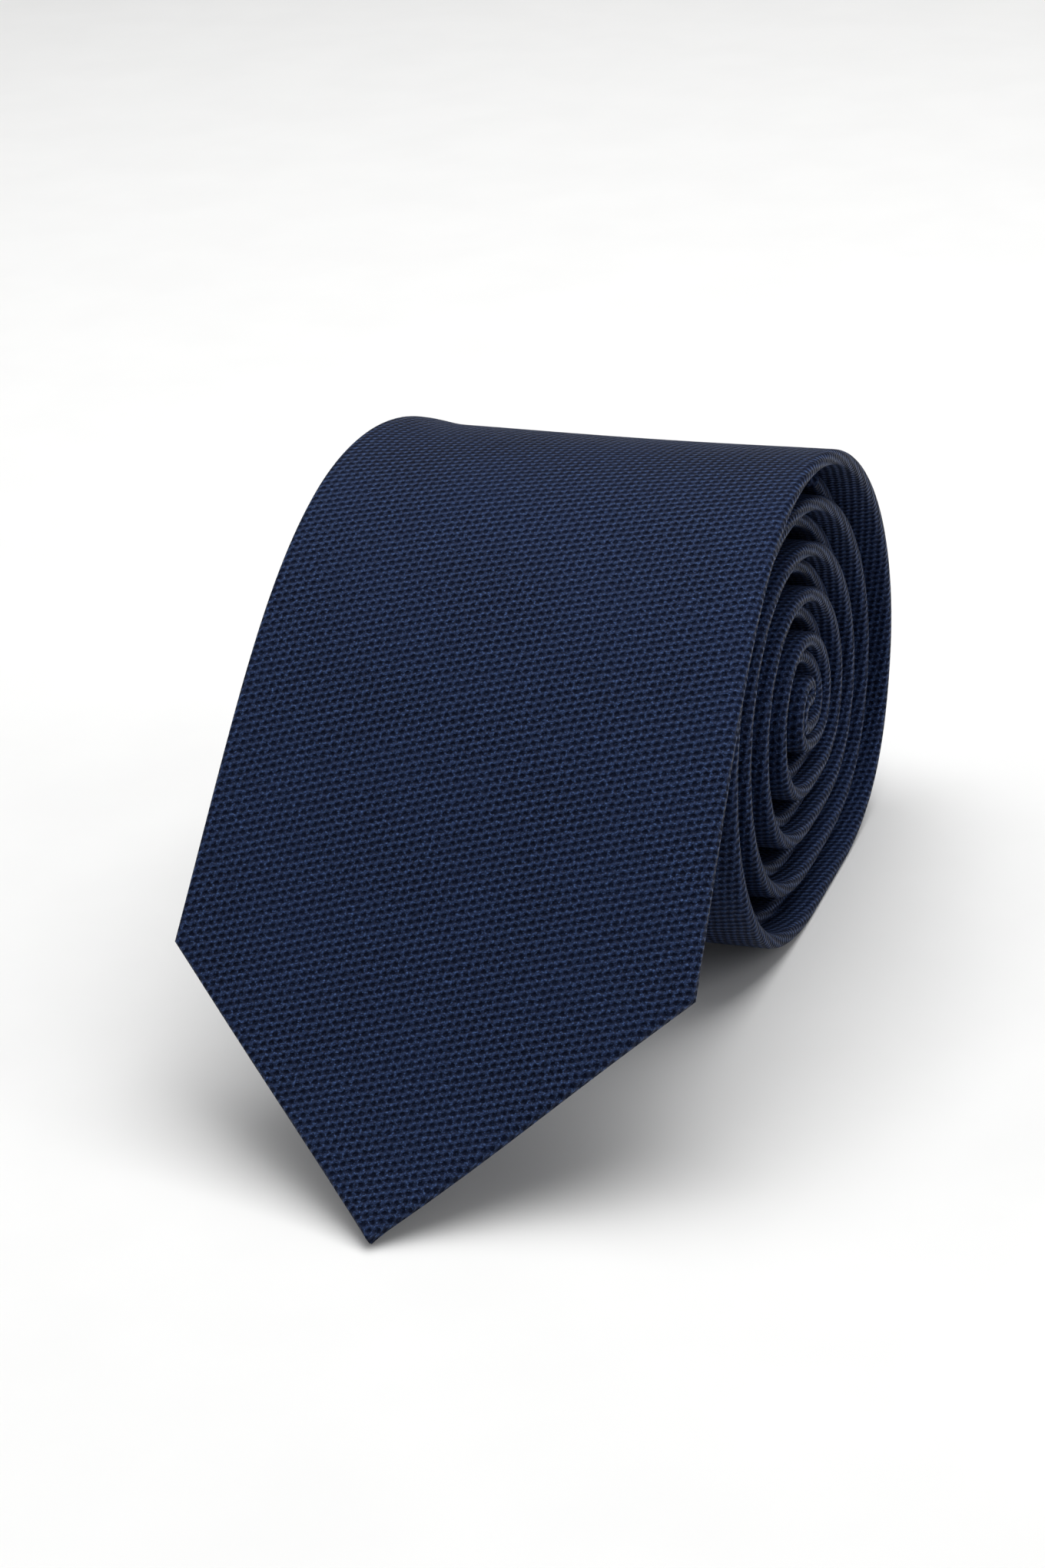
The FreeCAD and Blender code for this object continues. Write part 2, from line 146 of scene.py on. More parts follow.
def half_width(s):
    """Half the finished width: a right-angled point, a long taper to the neck, and back."""
    blade, neck, tail = BLADE_WIDTH / 2, NECK_WIDTH / 2, TAIL_WIDTH / 2
    return np.interp(s, [0.0, blade, NECK_AT, TOTAL - tail, TOTAL], [0.0, blade, neck, tail, 0.0])


def smooth(u):
    """An even step from 0 to 1."""
    u = np.clip(u, 0.0, 1.0)
    return u * u * (3 - 2 * u)


def middle_x(s):
    """Where the tie's middle lies across the roll; its right-hand edges are nearly flush."""
    blade, tail = BLADE_WIDTH / 2, TAIL_WIDTH / 2
    inner = np.clip(s, blade, TOTAL - tail)
    right = RIGHT_END + (blade - RIGHT_END) * np.exp(-(np.maximum(s, blade) - blade) / RIGHT_SETTLE)
    right = right - TAIL_RECESS * smooth((s - FOLD_AT) / RECESS_LENGTH)
    return right - half_width(inner)


def opening(s):
    """Half width of the gap between the back flaps."""
    blade, tail = BLADE_WIDTH / 2, TAIL_WIDTH / 2
    tail_hem = TAIL_SHOULDER + tail - TAIL_HEM_DEPTH
    return np.interp(s, [HEM, blade, OPENING_END, TAIL_OPENING, TAIL_SHOULDER, tail_hem],
                     [SLIT, SLIT + blade - HEM, SLIT, SLIT, SLIT + tail - TAIL_HEM_DEPTH, SLIT])


def at(s, x, n):
    """Row-frame points, in millimetres."""
    y, z, way = place(s)
    return np.stack([x + 0 * y, y - np.sin(way) * n, z + np.cos(way) * n], axis=-1)


# ---------------------------------------------------------------- natural unevenness
WARP = ((0.35, 0, 1 / 140, 1 / 190, 1.3),           # per axis: height, waves per mm along x, y, z,
        (0.30, 1 / 130, 0, 1 / 110, 0.4),           # and where the wave starts
        (0.30, 1 / 120, 1 / 150, 0, 2.1))
WARP_FREE_HEIGHT = 22.0


def warp(p):
    """One slow uneven field through the whole roll, none at the table, so layers stay apart."""
    x, y, z = p[..., 0], p[..., 1], p[..., 2]
    free = smooth(z / WARP_FREE_HEIGHT)
    move = np.stack([height * np.sin(2 * math.pi * (x * kx + y * ky + z * kz) + start)
                     for height, kx, ky, kz, start in WARP], axis=-1)
    return p + move * free[..., None]


CURL_HEIGHT, CURL_FROM, CURL_WIDTH, CURL_AT, CURL_REACH = 0.9, -25.0, 8.0, 152.0, 45.0


def curl(s, x):
    """The first turn's free left edge lifts a little over the crest."""
    near = np.clip(1.0 - np.abs(s - CURL_AT) / CURL_REACH, 0.0, 1.0)
    return CURL_HEIGHT * smooth(near) * smooth((CURL_FROM - x) / CURL_WIDTH)


def natural(s, x, n):
    """Row-frame points in metres, with the unevenness of real cloth."""
    return warp(at(s, x, n + curl(s, x))) * MM


def noise_1d(values, period, seed, count=400):
    """A smooth random curve, the same each run."""
    rng = np.random.default_rng(seed)
    knots = rng.uniform(-1, 1, count)
    u = np.asarray(values) / period
    i = np.floor(u).astype(int)
    f = smooth(u - i)
    return knots[i % count] * (1 - f) + knots[(i + 1) % count] * f


# ---------------------------------------------------------------- meshes along the line
BEND_STEP, SHORTEST_STEP = 0.10, 0.16               # radians turned, and mm, between rows
END_STEP, END_GROWTH, KEEP_CLEAR = 0.35, 0.12, 0.3


def stations(s0, s1, step=1.5, keep=()):
    """Places from s0 to s1, closer together where the tie turns tighter and at its points."""
    out = [s0]
    while True:
        s = out[-1]
        way = place(np.array([s - 0.5, s + 0.5]))[2]
        curve = abs(way[1] - way[0])
        near_end = END_STEP + END_GROWTH * min(s, TOTAL - s)
        ds = min(step, max(SHORTEST_STEP, BEND_STEP / max(curve, 1e-6)), near_end)
        if s + 1.4 * ds >= s1:
            break
        out.append(s + ds)
    kept = [k for k in keep if s0 < k < s1]
    out = [s for s in out if all(abs(s - k) > KEEP_CLEAR for k in keep)] + kept
    return np.array(sorted(out) + [s1])


def mesh_object(name, points, faces, uvs=None, smooth_faces=None):
    """A linked mesh object; uvs has one row per face corner."""
    mesh = bpy.data.meshes.new(name)
    mesh.from_pydata([tuple(p) for p in points], [], faces)
    if uvs is not None:
        layer = mesh.uv_layers.new(name="weave")
        layer.data.foreach_set("uv", np.asarray(uvs, np.float32).ravel())
    flags = np.ones(len(faces), bool) if smooth_faces is None else smooth_faces
    mesh.polygons.foreach_set("use_smooth", flags)
    mesh.update()
    obj = bpy.data.objects.new(name, mesh)
    bpy.context.scene.collection.objects.link(obj)
    return obj


def swept(name, s, x, n, u):
    """A closed mesh: row i of x and n is the section's ring at s[i]; u is its girth, one longer."""
    rows, ring = x.shape
    points = natural(s[:, None] + 0 * x, x, n).reshape(-1, 3)
    i, j = np.meshgrid(np.arange(rows - 1), np.arange(ring), indexing="ij")
    k = (j + 1) % ring
    quads = np.stack([i * ring + j, i * ring + k, (i + 1) * ring + k, (i + 1) * ring + j], -1)
    quads = quads.reshape(-1, 4)
    along = s[:, None] + 0 * u
    uv = np.stack([np.stack([u[i, j], along[i, j]], -1), np.stack([u[i, j + 1], along[i, j]], -1),
                   np.stack([u[i + 1, j + 1], along[i + 1, j]], -1),
                   np.stack([u[i + 1, j], along[i + 1, j]], -1)], 2).reshape(-1, 4, 2)
    a, b, c, d = (points[quads[:, q]] for q in range(4))
    volume = (np.cross(a, b) * c).sum() + (np.cross(a, c) * d).sum()
    first = list(range(ring))[::-1]
    last = [(rows - 1) * ring + q for q in range(ring)]
    if volume < 0:
        quads, uv = quads[:, ::-1], uv[:, ::-1]
        first, last = first[::-1], last[::-1]
    cap_uv = [np.array([[u[q // ring, q % ring], s[q // ring]] for q in cap])
              for cap in (first, last)]
    faces = quads.tolist() + [first, last]
    flags = np.ones(len(faces), bool)
    flags[-2:] = False
    obj = mesh_object(name, points, faces, np.vstack([uv.reshape(-1, 2)] + cap_uv), flags)
    ends = np.empty(2 * len(obj.data.edges), np.int32)      # crisp cut ends, smooth sides
    obj.data.edges.foreach_get("vertices", ends)
    row = ends.reshape(-1, 2) // ring
    sharp = (row[:, 0] == row[:, 1]) & ((row[:, 0] == 0) | (row[:, 0] == rows - 1))
    obj.data.edges.foreach_set("use_edge_sharp", sharp)
    obj.data.update()
    return obj


EDGE_REACH, EDGE_POWER, EDGE_STEPS = 1.05, 2.3, 12   # rounding of the folded edges
FACE_STEPS, FLAP_STEPS, LIP_STEPS, INSIDE_STEPS = 34, 9, 5, 7
FACE_SPREAD = 0.85                                   # below 1: rows closer towards the edges
CROWN, FLAP_WAVE, FULL_WIDTH = 0.10, 0.12, 20.0      # padding's swell, full from this half width
SEAM_DIP, SEAM_WIDTH = 0.16, 0.7


def cloth_ring(s):
    """The folded shell's section: face, rounded edges, back flaps with their lips, inside."""
    h = half_width(s)[:, None]
    gap = np.minimum(opening(s)[:, None], 0.4 * h)
    lip = np.minimum(CLOTH / 2, 0.1 * h)
    reach = np.minimum(EDGE_REACH, 0.45 * h)
    low, high = -HALF + 2 * lip, HALF - CLOTH
    inner = np.maximum(h - EDGE, 0.55 * h)
    crown = CROWN * smooth(h / FULL_WIDTH)

    t = np.linspace(-1, 1, FACE_STEPS + 1)[None, :]
    t = np.sign(t) * np.abs(t) ** FACE_SPREAD
    face_x = t * (h - reach)
    face_n = HALF + crown * (1 - np.abs(t) ** 6) + 0 * h

    phi = np.linspace(math.pi / 2, -math.pi / 2, EDGE_STEPS + 1)[None, 1:-1]
    edge_x = h - reach + reach * np.abs(np.cos(phi)) ** (2 / EDGE_POWER)
    edge_n = HALF * np.sign(np.sin(phi)) * np.abs(np.sin(phi)) ** (2 / EDGE_POWER) + 0 * h

    v = np.linspace(0, 1, FLAP_STEPS + 1)[None, :]
    flap_x = (h - reach) * (1 - v) + (gap + lip) * v
    wave = FLAP_WAVE * (v ** 3 - 0.25 * np.sin(math.pi * v))
    flap_n = -HALF + 0 * flap_x + smooth(h / FULL_WIDTH) * wave
    flap_n[:, -1:] = -HALF

    psi = np.linspace(-math.pi / 2, math.pi / 2, LIP_STEPS + 1)[None, 1:]
    lip_x = gap + lip - lip * np.cos(psi)
    lip_n = -HALF + lip + lip * np.sin(psi)

    right_x = np.hstack([face_x[:, FACE_STEPS // 2:], edge_x, flap_x, lip_x])
    right_n = np.hstack([face_n[:, FACE_STEPS // 2:], edge_n, flap_n, lip_n])
    run = np.hypot(np.diff(right_x, axis=1), np.diff(right_n, axis=1))
    girth = np.hstack([0 * h, np.cumsum(run, axis=1)])
    w = np.linspace(0, 1, INSIDE_STEPS + 1)[None, :]
    start = gap + lip
    inside_x = np.hstack([start + (inner - start) * w[:, 1:], inner * (1 - w[:, :-1])])
    inside_n = np.hstack([low + 0 * w[:, 1:] * h, high + 0 * w[:, 1:] * h])
    inside_u = girth[:, -1:] + np.hstack([inner * w[:, 1:], inner * (1 + w[:, :-1])])

    x = np.hstack([right_x, inside_x, -inside_x[:, ::-1], -right_x[:, :0:-1]])
    n = np.hstack([right_n, inside_n, inside_n[:, ::-1], right_n[:, :0:-1]])
    u = np.hstack([girth, inside_u, -inside_u[:, ::-1], -girth[:, :0:-1], girth[:, :1]])
    return x + middle_x(s)[:, None], n, u


CORNERS = (HEM, BLADE_WIDTH / 2, OPENING_END, TAIL_OPENING, TAIL_SHOULDER)


def cloth(name, s0, s1, seams=()):
    """A stretch of the folded shell; a pressed seam sinks a little."""
    s = stations(s0, s1, keep=[k for k in CORNERS if s0 < k < s1])
    x, n, u = cloth_ring(s)
    for seam in seams:
        dip = np.exp(-((s - seam) / SEAM_WIDTH) ** 2)[:, None]
        n = n * (1 - SEAM_DIP * dip)
    return swept(name, s, x, n, u)


def strip(name, s0, s1, half, low, high, step=1.5, across=8):
    """A plain strip with rounded edges; half is its half width, a number or a function of s."""
    s = stations(s0, s1, step)
    h = (half(s) if callable(half) else np.full(len(s), half))[:, None]
    r = (high - low) / 2
    h = np.maximum(h, 1.2 * r)
    t = np.linspace(-1, 1, across + 1)[None, :]
    phi = np.linspace(math.pi / 2, -math.pi / 2, 6)[None, 1:-1]
    x = np.hstack([t * (h - r), h - r + r * np.cos(phi), -t * (h - r), -(h - r + r * np.cos(phi))])
    n = np.hstack([r + 0 * t * h, r * np.sin(phi) + 0 * h, -r + 0 * t * h, -r * np.sin(phi) + 0 * h])
    step_length = np.hypot(np.diff(x, axis=1, append=x[:, :1]), np.diff(n, axis=1, append=n[:, :1]))
    u = np.hstack([0 * h, np.cumsum(step_length, axis=1)]) - h
    return swept(name, s, x + middle_x(s)[:, None], n + (low + high) / 2, u)


def inside(margin):
    """Half width of a layer that stays this far inside the folded edges."""
    return lambda s: half_width(s) - EDGE - margin


LINING_TOP = HALF - CLOTH - PLAY
LINING_BOTTOM = LINING_TOP - INTERLINING
TIPPING_TOP = LINING_BOTTOM - PLAY
TIPPING_BOTTOM = TIPPING_TOP - TIPPING


def thread(name, paths, radius, sides=6):
    """Closed tubes along paths given as (s, x from the middle, n)."""
    points, faces, uvs, flags = [], [], [], []
    for path in paths:
        path = np.asarray(path, float)
        line = natural(path[:, 0], path[:, 1] + middle_x(path[:, 0]), path[:, 2])
        tangent = np.gradient(line, axis=0)
        tangent /= np.linalg.norm(tangent, axis=1)[:, None]
        way = place(path[:, 0])[2]
        up = np.column_stack([0 * way, -np.sin(way), np.cos(way)])
        side = np.cross(tangent, up)
        side /= np.linalg.norm(side, axis=1)[:, None] + 1e-12
        up = np.cross(side, tangent)
        base, count = len(points), len(line)
        run = np.concatenate([[0], np.cumsum(np.linalg.norm(np.diff(line, axis=0), axis=1))]) / MM
        for i in range(count):
            taper = 0.55 if i in (0, count - 1) else 1.0
            for q in range(sides):
                a = 2 * math.pi * q / sides
                points.append(line[i] + radius * MM * taper
                              * (math.cos(a) * side[i] + math.sin(a) * up[i]))
        for i in range(count - 1):
            for q in range(sides):
                r = (q + 1) % sides
                faces.append([base + i * sides + q, base + (i + 1) * sides + q,
                              base + (i + 1) * sides + r, base + i * sides + r])
                uvs += [(q / sides, run[i]), (q / sides, run[i + 1]),
                        ((q + 1) / sides, run[i + 1]), ((q + 1) / sides, run[i])]
                flags.append(True)
        for cap in (list(range(base, base + sides)),
                    list(range(base + (count - 1) * sides, base + count * sides))[::-1]):
            faces.append(cap)
            uvs += [(0.0, 0.0)] * sides
            flags.append(False)
    return mesh_object(name, points, faces, uvs, flags)


# ---------------------------------------------------------------- materials
class Nodes:
    """A short way to write one material's node tree."""

    def __init__(self, name):
        self.material = bpy.data.materials.new(name)
        self.material.use_nodes = True
        self.tree = self.material.node_tree
        self.tree.nodes.clear()
        self.out = self.tree.nodes.new("ShaderNodeOutputMaterial")
        self.shader = self.tree.nodes.new("ShaderNodeBsdfPrincipled")
        self.tree.links.new(self.shader.outputs[0], self.out.inputs["Surface"])

    def put(self, socket, value):
        if isinstance(value, bpy.types.NodeSocket):
            self.tree.links.new(value, socket)
        else:
            socket.default_value = value

    def maths(self, operation, a, b=0.0, c=0.0, clamp=False):
        node = self.tree.nodes.new("ShaderNodeMath")
        node.operation = operation
        node.use_clamp = clamp
        for socket, value in zip(node.inputs, (a, b, c)):
            self.put(socket, value)
        return node.outputs[0]

    def ramp(self, value, low, high, to_low=0.0, to_high=1.0):
        node = self.tree.nodes.new("ShaderNodeMapRange")
        node.interpolation_type = "SMOOTHSTEP"
        for key, item in (("Value", value), ("From Min", low), ("From Max", high),
                          ("To Min", to_low), ("To Max", to_high)):
            self.put(node.inputs[key], item)
        return node.outputs[0]

    def uv(self):
        node = self.tree.nodes.new("ShaderNodeUVMap")
        node.uv_map = "weave"
        return node.outputs[0]

    def place(self):
        return self.tree.nodes.new("ShaderNodeTexCoord").outputs["Object"]

    def facing(self):
        """0 where the surface looks at the eye, 1 where it is seen from the side."""
        return self.tree.nodes.new("ShaderNodeLayerWeight").outputs["Facing"]

    def split(self, vector):
        node = self.tree.nodes.new("ShaderNodeSeparateXYZ")
        self.put(node.inputs[0], vector)
        return node.outputs[0], node.outputs[1]

    def vector(self, x, y, z=0.0):
        node = self.tree.nodes.new("ShaderNodeCombineXYZ")
        for socket, value in zip(node.inputs, (x, y, z)):
            self.put(socket, value)
        return node.outputs[0]

    def noise(self, vector, scale, detail=2.0, roughness=0.5):
        node = self.tree.nodes.new("ShaderNodeTexNoise")
        self.put(node.inputs["Vector"], vector)
        node.inputs["Scale"].default_value = scale
        node.inputs["Detail"].default_value = detail
        node.inputs["Roughness"].default_value = roughness
        return node.outputs["Fac"]

    def colour(self, factor, a, b):
        node = self.tree.nodes.new("ShaderNodeMix")
        node.data_type = "RGBA"
        self.put(node.inputs[0], factor)
        self.put(node.inputs[6], (*a, 1.0) if isinstance(a, tuple) else a)      # colour A
        self.put(node.inputs[7], (*b, 1.0) if isinstance(b, tuple) else b)      # colour B
        return node.outputs[2]

    def bump(self, height, distance):
        node = self.tree.nodes.new("ShaderNodeBump")
        node.inputs["Strength"].default_value = 1.0
        node.inputs["Distance"].default_value = distance
        self.put(node.inputs["Height"], height)
        return node.outputs[0]

    def finish(self, colour, roughness, normal, **fixed):
        self.put(self.shader.inputs["Base Color"], colour)
        self.put(self.shader.inputs["Roughness"], roughness)
        self.put(self.shader.inputs["Normal"], normal)
        for key, value in fixed.items():
            self.put(self.shader.inputs[key.replace("_", " ")], value)
        return self.material


WEAVE_A, WEAVE_B = (-0.256, 0.867), (-0.867, 0.110)     # rows of holes, cycles per millimetre
NET_SHARES = (0.46, 0.33, 0.21)                         # rows, columns and the slant between them
TAPER, UNEVEN = 0.12, 0.80
FLOAT_WAY = (0.96, 0.28)                                # direction of the floats in (x, s)
FIBRES_ALONG, FIBRES_ACROSS = 2.2, 7.0                  # per millimetre
NET_COLOUR = (0.0058, 0.0132, 0.0435)
FLOAT_COLOUR = (0.0132, 0.0282, 0.0880)
# painted shade: the dark in the weave's holes and between the lit dashes, also used for dark streaks
# along the fibres
HOLE_SHADE_COLOUR = (0.0005, 0.0011, 0.0060)
# painted highlight: the colour of the sparkle glints and of the bright dashes along the rows
PAINTED_GLINT_COLOUR = (0.0680, 0.1280, 0.3100)


def weave_phases(m, u, v):
    """The angles of the two sets of rows, which wander as hand-cut cloth does."""
    slow = m.noise(m.vector(u, v), 0.35, 1.0)
    wander = m.noise(m.vector(m.maths("ADD", u, 37.0), v), 0.8, 1.0)
    u = m.maths("ADD", u, m.maths("MULTIPLY_ADD", slow, 0.5, -0.25))
    v = m.maths("ADD", v, m.maths("MULTIPLY_ADD", wander, 0.26, -0.13))
    phases = []
    for across, along in (WEAVE_A, WEAVE_B):
        turns = m.maths("MULTIPLY_ADD", u, across, m.maths("MULTIPLY", v, along))
        phases.append(m.maths("MULTIPLY", turns, 2 * math.pi))
    return phases


def weave_net(m, u, v, first, second):
    """1 in the middle of a hole, -1 on top of a float; holes taper to one side."""
    third = m.maths("SUBTRACT", first, second)
    net = m.maths("MULTIPLY", m.maths("COSINE", first), NET_SHARES[0])
    net = m.maths("MULTIPLY_ADD", m.maths("COSINE", second), NET_SHARES[1], net)
    net = m.maths("MULTIPLY_ADD", m.maths("COSINE", third), NET_SHARES[2], net)
    skew = m.maths("SINE", m.maths("ADD", first, second))
    net = m.maths("MULTIPLY_ADD", skew, TAPER, net)
    uneven = m.noise(m.vector(u, v), 1.9, 2.0, 0.6)
    return m.maths("ADD", net, m.maths("MULTIPLY_ADD", uneven, UNEVEN, -UNEVEN / 2))


def yarn_fibres(m, u, v):
    """Fine fibres lying along the floats."""
    along = m.maths("MULTIPLY_ADD", u, FLOAT_WAY[0], m.maths("MULTIPLY", v, FLOAT_WAY[1]))
    across = m.maths("MULTIPLY_ADD", u, -FLOAT_WAY[1], m.maths("MULTIPLY", v, FLOAT_WAY[0]))
    return m.noise(m.vector(m.maths("MULTIPLY", along, FIBRES_ALONG),
                            m.maths("MULTIPLY", across, FIBRES_ACROSS)), 1.0, 2.0, 0.6)


def weave_material():
    """Natte weave: a net of raised floats round staggered holes, cut on the bias; the holes are
    darkened with painted shade.
    """
    m = Nodes("tie_cloth")
    u, v = m.split(m.uv())
    first, second = weave_phases(m, u, v)
    net = weave_net(m, u, v, first, second)
    fibres = yarn_fibres(m, u, v)
    sparkle = m.noise(m.vector(u, v), 2.9, 2.0, 0.65)
    tone = m.noise(m.vector(u, v), 0.06, 2.0)
    facing = m.facing()

    # seen from the side, the floats hide the holes; painted highlights show as bright dashes along
    # the rows, with painted shade on the floats between them
    hole = m.maths("MULTIPLY", m.ramp(net, -0.05, 0.50), m.ramp(facing, 0.30, 0.75, 0.76, 0.50))
    float_top = m.ramp(net, -0.12, -0.60)
    along_row = m.maths("COSINE", m.maths("ADD", second, 2.2))
    lit_dash = m.maths("MULTIPLY", m.ramp(m.maths("COSINE", first), -0.05, -0.85),
                   m.ramp(along_row, -0.5, 0.6))
    between = m.maths("SUBTRACT", 1.0, lit_dash)
    shade = m.maths("MULTIPLY", between, m.ramp(facing, 0.25, 0.85, 0.0, 0.80))
    lit_dash = m.maths("MULTIPLY", lit_dash, m.ramp(facing, 0.20, 0.75, 0.12, 0.50))

    base = m.colour(float_top, NET_COLOUR, FLOAT_COLOUR)
    # mixed in turn: painted glints, painted shade between the dashes, painted highlight dashes, dark
    # fibre streaks, painted shade in the holes, a random tone
    for share, colour in ((m.ramp(sparkle, 0.50, 0.70, 0.0, 0.80), PAINTED_GLINT_COLOUR),
                          (shade, HOLE_SHADE_COLOUR),
                          (lit_dash, PAINTED_GLINT_COLOUR),
                          (m.ramp(fibres, 0.40, 0.68, 0.0, 0.70), HOLE_SHADE_COLOUR),
                          (hole, HOLE_SHADE_COLOUR),
                          (m.ramp(tone, 0.3, 0.7, 0.0, 0.10), FLOAT_COLOUR)):
        base = m.colour(share, base, colour)

    height = m.maths("MULTIPLY_ADD", net, -0.5, m.maths("MULTIPLY", fibres, 0.30))
    rough = m.ramp(float_top, 0.0, 1.0, 0.62, 0.42)
    shine = m.maths("MULTIPLY_ADD", hole, -0.09, 0.11)
    return m.finish(base, rough, m.bump(height, 0.00040), Specular_IOR_Level=shine,
                    Sheen_Weight=0.03, Sheen_Roughness=0.35, Sheen_Tint=(0.30, 0.45, 1.0, 1.0))


def satin_material(name, dark, light, scale=1.0):
    """Lining satin: fine close twill lines across, a soft shine."""
    m = Nodes(name)
    u, v = m.split(m.uv())
    turns = m.maths("MULTIPLY_ADD", u, 1.6 * scale, m.maths("MULTIPLY", v, 2.9 * scale))
    lines = m.maths("SINE", m.maths("MULTIPLY", turns, 2 * math.pi))
    fibres = m.noise(m.vector(m.maths("MULTIPLY", u, 9.0), m.maths("MULTIPLY", v, 1.5)), 1.0, 2.0)
    cloudy = m.noise(m.vector(u, v), 0.08, 2.0)
    value = m.maths("MULTIPLY_ADD", lines, 0.25, fibres)
    base = m.colour(m.ramp(value, 0.2, 0.9), dark, light)
    base = m.colour(m.ramp(cloudy, 0.3, 0.7, 0.0, 0.3), base, light)
    height = m.maths("MULTIPLY_ADD", lines, 0.3, fibres)
    return m.finish(base, m.ramp(fibres, 0.2, 0.8, 0.28, 0.42), m.bump(height, 0.00003),
                    Specular_IOR_Level=0.55, Anisotropic=0.4)


def wool_material():
    """Interlining: brushed natural wool with stray fibres."""
    m = Nodes("interlining_wool")
    u, v = m.split(m.uv())
    fibres = m.noise(m.vector(u, v), 2.2, 4.0, 0.65)
    long_fibres = m.noise(m.vector(m.maths("MULTIPLY", u, 4.0), m.maths("MULTIPLY", v, 0.7)),
                          1.0, 3.0)
    value = m.maths("MULTIPLY", fibres, long_fibres)
    base = m.colour(m.ramp(value, 0.12, 0.40), (0.38, 0.34, 0.27), (0.70, 0.66, 0.57))
    return m.finish(base, 0.92, m.bump(value, 0.0004), Specular_IOR_Level=0.15,
                    Sheen_Weight=0.4, Sheen_Roughness=0.5)


def thread_material(name, dark, light):
    """Twisted sewing thread: two plies that wind round each other."""
    m = Nodes(name)
    u, v = m.split(m.uv())
    turns = m.maths("MULTIPLY_ADD", v, 1.4, m.maths("MULTIPLY", u, 2.0))
    ply = m.maths("SINE", m.maths("MULTIPLY", turns, 2 * math.pi))
    fuzz = m.noise(m.vector(m.maths("MULTIPLY", u, 6.0), m.maths("MULTIPLY", v, 5.0)), 1.0, 2.0)
    value = m.maths("MULTIPLY_ADD", ply, 0.35, fuzz)
    base = m.colour(m.ramp(value, 0.1, 0.9), dark, light)
    return m.finish(base, m.ramp(fuzz, 0.2, 0.8, 0.4, 0.6), m.bump(value, 0.00005),
                    Specular_IOR_Level=0.4)


NAVY_SATIN = ((0.008, 0.013, 0.040), (0.022, 0.036, 0.100))
SILVER_SATIN = ((0.26, 0.27, 0.31), (0.46, 0.47, 0.52))
NAVY_THREAD = ((0.010, 0.016, 0.050), (0.045, 0.075, 0.19))
MATERIALS = {"tie_cloth": weave_material(),
             "tipping_satin": satin_material("tipping_satin", *NAVY_SATIN),
             "label_satin": satin_material("label_satin", *SILVER_SATIN, 1.6),
             "interlining_wool": wool_material(),
             "thread": thread_material("thread", *NAVY_THREAD)}


# ---------------------------------------------------------------- the splits at the crest and the roll, and how each piece is placed
CREST_SPLIT, ROLL_SPLIT = 85.0, 150.0


def bends_at_crest(obj):
    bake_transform(obj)


def bends_at_middle(obj):
    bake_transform(obj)


def on_roll(obj):
    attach(obj, "roll")


def piece(obj, slot, nodes, moves):
    """Gives a piece the material named by slot, applies moves to it, and hides the CAD nodes that it
    stands for.
    """
    obj.data.materials.append(MATERIALS[slot])
    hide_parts(*nodes)
    moves(obj)
    return obj


def cut(obj, wide, s0, s1, held, *rests_on):
    """Works out the flat width along a stretch of cloth and keeps nothing; wide is its width at s
    when it is laid out flat.
    """
    s = np.linspace(s0, s1, 300)
    w = wide(s) if callable(wide) else np.full(len(s), float(wide))


def shell_width(s):
    """The face and both flaps, unfolded."""
    return 4 * half_width(s) - 2 * opening(s)


# shell cloth
for name, s0, s1, seams, nodes, moves, under in (
        ("blade_cloth_rolled", ROLL_SPLIT, BLADE_SEAM - 0.12, [BLADE_SEAM], ["blade_shell"], on_roll,
         "floor"),
        ("blade_cloth_crest", CREST_SPLIT, ROLL_SPLIT, [], ["blade_shell_middle"], bends_at_crest,
         "blade_cloth_rolled"),
        ("blade_cloth_point", 0.15, CREST_SPLIT, [], ["blade_shell_point"], bends_at_middle,
         "floor"),
        ("neck_cloth", BLADE_SEAM, NECK_SEAM - 0.12, [BLADE_SEAM, NECK_SEAM], ["neck_shell"],
         on_roll, "blade_cloth_rolled"),
        ("tail_cloth", NECK_SEAM, TOTAL - 0.15, [NECK_SEAM], ["tail_shell"], on_roll,
         "blade_cloth_rolled")):
    obj = piece(cloth(name, s0, s1, seams), "tie_cloth", nodes, moves)
    cut(obj, shell_width, s0, s1, "folded", under)


# lining and tipping
WOOL = (inside(0.4), LINING_BOTTOM, LINING_TOP, "interlining_wool")
SATIN = (inside(0.6), TIPPING_BOTTOM, TIPPING_TOP, "tipping_satin")
LINING_JOIN_GAP, LINING_SHY = 0.3, 3.0          # kept back from the join, and from the slit's end


def laid(name, s0, s1, layer, nodes, moves, under, step=1.5):
    """A flat layer inside the shell."""
    half, low, high, slot = layer
    obj = piece(strip(name, s0, s1, half, low, high, step), slot, nodes, moves)
    cut(obj, lambda s: 2 * half(s), s0, s1, "laid", under)


laid("blade_interlining_rolled", ROLL_SPLIT, NECK_AT - LINING_JOIN_GAP, WOOL,
     ["blade_interlining"], on_roll, "blade_cloth_rolled", 3.0)
laid("blade_interlining_crest", CREST_SPLIT, ROLL_SPLIT, WOOL,
     ["blade_interlining_middle"], bends_at_crest, "blade_cloth_crest")
laid("blade_interlining_tip", LINING_START + LINING_SHY, CREST_SPLIT, WOOL,
     ["blade_interlining_point"], bends_at_middle, "blade_cloth_point")
laid("tail_interlining_whole", NECK_AT, TOTAL - LINING_START, WOOL,
     ["tail_interlining"], on_roll, "tail_cloth", 3.0)
laid("blade_tipping_crest", CREST_SPLIT, TIPPING_END, SATIN,
     ["blade_tipping", "blade_tipping_middle"], bends_at_crest, "blade_cloth_crest")
laid("blade_tipping_tip", TIPPING_START, CREST_SPLIT, SATIN,
     ["blade_tipping_point"], bends_at_middle, "blade_cloth_point")
